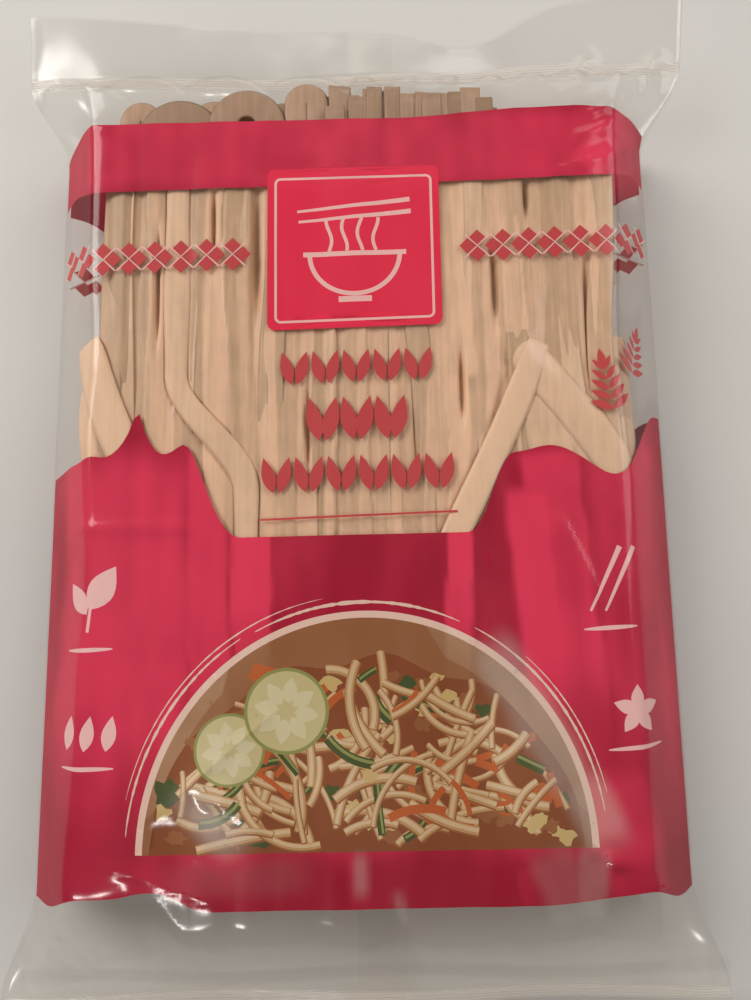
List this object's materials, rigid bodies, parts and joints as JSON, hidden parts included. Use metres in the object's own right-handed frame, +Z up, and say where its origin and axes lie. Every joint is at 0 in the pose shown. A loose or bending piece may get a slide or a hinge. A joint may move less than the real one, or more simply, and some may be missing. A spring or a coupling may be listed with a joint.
{
  "type": "sealed pack of folded rice noodles",
  "caption": "Sealed clear film pack with pink print, holding a block of dried flat rice noodles folded into a brick.",
  "frame": {"origin": "under the middle of the pack, on the surface that it lies on", "axes": "+Z up out of the printed front, +Y towards the top of the pack as it is read, +X to the right"},
  "size_m": [0.156, 0.242, 0.027],
  "materials": {
    "clear_film": "glossy clear film",
    "pink_print": "ink under glossy film",
    "pale_print": "pale ink under glossy film",
    "picture_print": "coloured ink under glossy film",
    "rice_noodle": "dry and slightly translucent"
  },
  "bodies": {
    "root": {"noodle_pack": "clear_film"}
  },
  "joints": []
}
